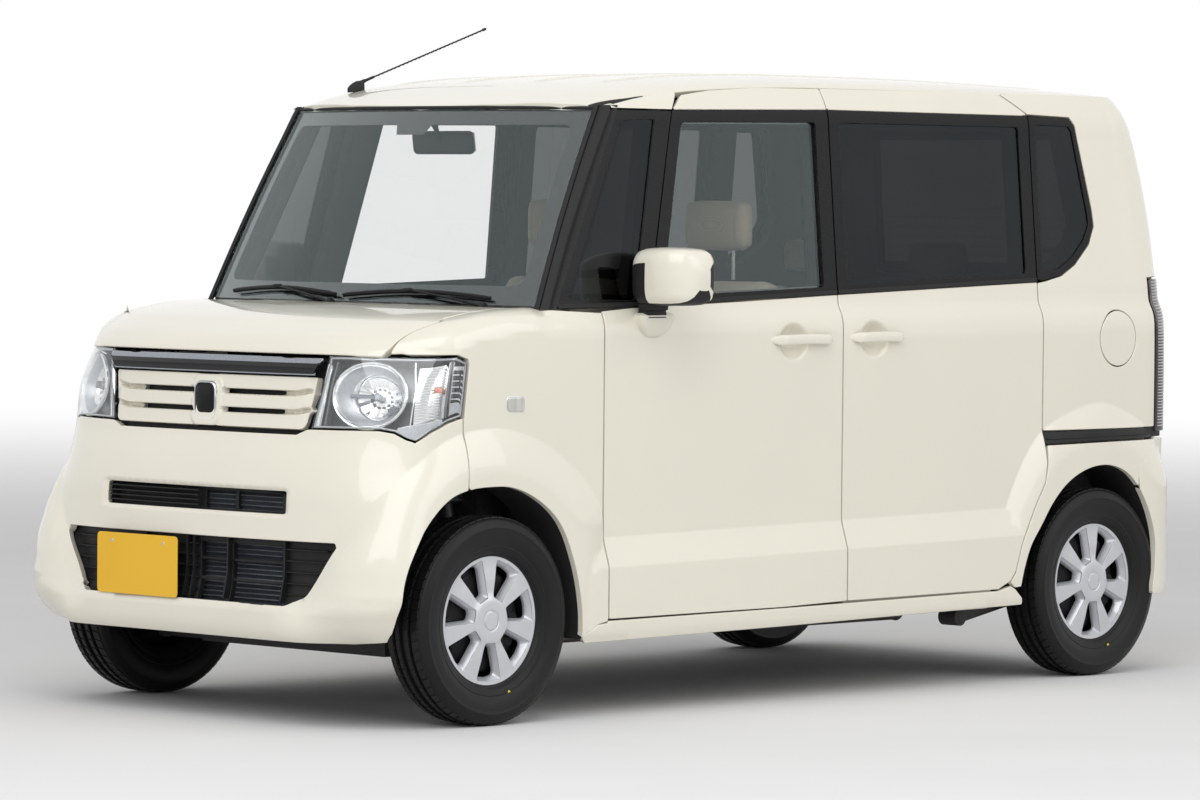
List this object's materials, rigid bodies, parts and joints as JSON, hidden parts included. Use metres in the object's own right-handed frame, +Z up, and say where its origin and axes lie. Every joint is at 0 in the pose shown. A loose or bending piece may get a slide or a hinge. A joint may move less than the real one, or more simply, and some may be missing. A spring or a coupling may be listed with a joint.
{
  "type": "kei van",
  "caption": "Small box-shaped kei car with hinged front doors, sliding rear doors, an opening bonnet and tailgate, steered front wheels and rolling wheels",
  "frame": {"origin": "on the ground, midway along and across the car", "axes": "+X is the car's left side, the nose points along -Y, +Z is up"},
  "size_m": [1.716, 3.395, 1.9063],
  "materials": {
    "body_paint": "ivory pearl paint, glossy",
    "clear_glass": "lightly tinted",
    "dark_glass": "privacy tint",
    "lamp_clear": "clear lens",
    "lamp_red": "dark red lens",
    "black_plastic": "grained",
    "underbody": "matt black underseal",
    "seat_fabric": "woven",
    "cast_metal": "cast",
    "aluminium": "bare",
    "steel": "bare",
    "plate_yellow": "blank plate",
    "wheel_silver": "silver",
    "tyre_black": "rubber"
  },
  "bodies": {
    "car_body": {"floor_pan": "underbody", "roof_panel": "body_paint", "left_side_frame": "body_paint", "right_side_frame": "body_paint", "front_fenders": "body_paint", "front_bumper": "body_paint", "rear_bumper": "body_paint", "grille": "body_paint", "radiator": "aluminium", "headlamps": "lamp_clear", "tail_lamps": "lamp_red", "windscreen": "clear_glass", "cowl_panel": "black_plastic", "wipers": "black_plastic", "quarter_windows": "dark_glass", "sliding_doors": "body_paint", "sliding_door_windows": "dark_glass", "dashboard": "black_plastic", "front_seats": "seat_fabric", "rear_seat": "seat_fabric", "engine": "cast_metal", "front_subframe": "underbody", "front_struts": "underbody", "fuel_tank": "underbody", "exhaust": "steel", "rear_axle": "cast_metal", "front_number_plate": "plate_yellow", "antenna": "black_plastic"},
    "left_door": {"left_front_door": "body_paint", "left_front_window": "clear_glass", "left_mirror": "body_paint"},
    "right_door": {"right_front_door": "body_paint", "right_front_window": "clear_glass", "right_mirror": "body_paint"},
    "bonnet": {"hood": "body_paint"},
    "rear_gate": {"tailgate": "body_paint", "tailgate_window": "dark_glass", "rear_number_plate": "plate_yellow"},
    "fuel_flap": {"fuel_lid": "body_paint"},
    "left_steered": {"left_knuckle": "cast_metal"},
    "right_steered": {"right_knuckle": "cast_metal"},
    "left_front_roller": {"left_front_wheel": "wheel_silver", "left_front_tyre": "tyre_black"},
    "right_front_roller": {"right_front_wheel": "wheel_silver", "right_front_tyre": "tyre_black"},
    "left_rear_roller": {"left_rear_wheel": "wheel_silver", "left_rear_tyre": "tyre_black"},
    "right_rear_roller": {"right_rear_wheel": "wheel_silver", "right_rear_tyre": "tyre_black"},
    "helm": {"steering_wheel": "black_plastic"}
  },
  "joints": [
    {"name": "left_door_hinge", "type": "hinge", "parent": "car_body", "child": "left_door", "pos_m": [0.7065, -0.842, 0.68], "axis": [0.042, 0, -0.9991], "range_deg": [0, 65]},
    {"name": "right_door_hinge", "type": "hinge", "parent": "car_body", "child": "right_door", "pos_m": [-0.7065, -0.842, 0.68], "axis": [0.042, 0, 0.9991], "range_deg": [0, 65]},
    {"name": "hood_hinge", "type": "hinge", "parent": "car_body", "child": "bonnet", "pos_m": [0, -1.085, 1.1], "axis": [-1, 0, 0], "range_deg": [0, 50]},
    {"name": "tailgate_hinge", "type": "hinge", "parent": "car_body", "child": "rear_gate", "pos_m": [0, 1.5005, 1.741], "axis": [1, 0, 0], "range_deg": [0, 80]},
    {"name": "fuel_lid_hinge", "type": "hinge", "parent": "car_body", "child": "fuel_flap", "pos_m": [0.712, 1.313, 1.005], "axis": [0, 0, -1], "range_deg": [0, 95]},
    {"name": "left_steer", "type": "hinge", "parent": "car_body", "child": "left_steered", "pos_m": [0.6, -1.2175, 0.195], "axis": [-0.1857, 0, 0.9826], "range_deg": [-33, 33]},
    {"name": "right_steer", "type": "hinge", "parent": "car_body", "child": "right_steered", "pos_m": [-0.6, -1.2175, 0.195], "axis": [0.1857, 0, 0.9826], "range_deg": [-33, 33]},
    {"name": "steering_wheel_turn", "type": "hinge", "parent": "car_body", "child": "helm", "pos_m": [-0.3217, -0.5047, 0.96], "axis": [0, 0.8829, 0.4695], "range_deg": [-540, 540]},
    {"name": "left_front_wheel_spin", "type": "hinge", "parent": "left_steered", "child": "left_front_roller", "pos_m": [0.6525, -1.2175, 0.281], "axis": [1, 0, 0], "continuous": true},
    {"name": "left_rear_wheel_spin", "type": "hinge", "parent": "car_body", "child": "left_rear_roller", "pos_m": [0.6525, 1.3025, 0.281], "axis": [1, 0, 0], "continuous": true},
    {"name": "right_front_wheel_spin", "type": "hinge", "parent": "right_steered", "child": "right_front_roller", "pos_m": [-0.6525, -1.2175, 0.281], "axis": [1, 0, 0], "continuous": true},
    {"name": "right_rear_wheel_spin", "type": "hinge", "parent": "car_body", "child": "right_rear_roller", "pos_m": [-0.6525, 1.3025, 0.281], "axis": [1, 0, 0], "continuous": true}
  ],
  "couplings": [
    {"joint": "right_steer", "follows": "left_steer", "ratio": 1},
    {"joint": "steering_wheel_turn", "follows": "left_steer", "ratio": 16}
  ]
}
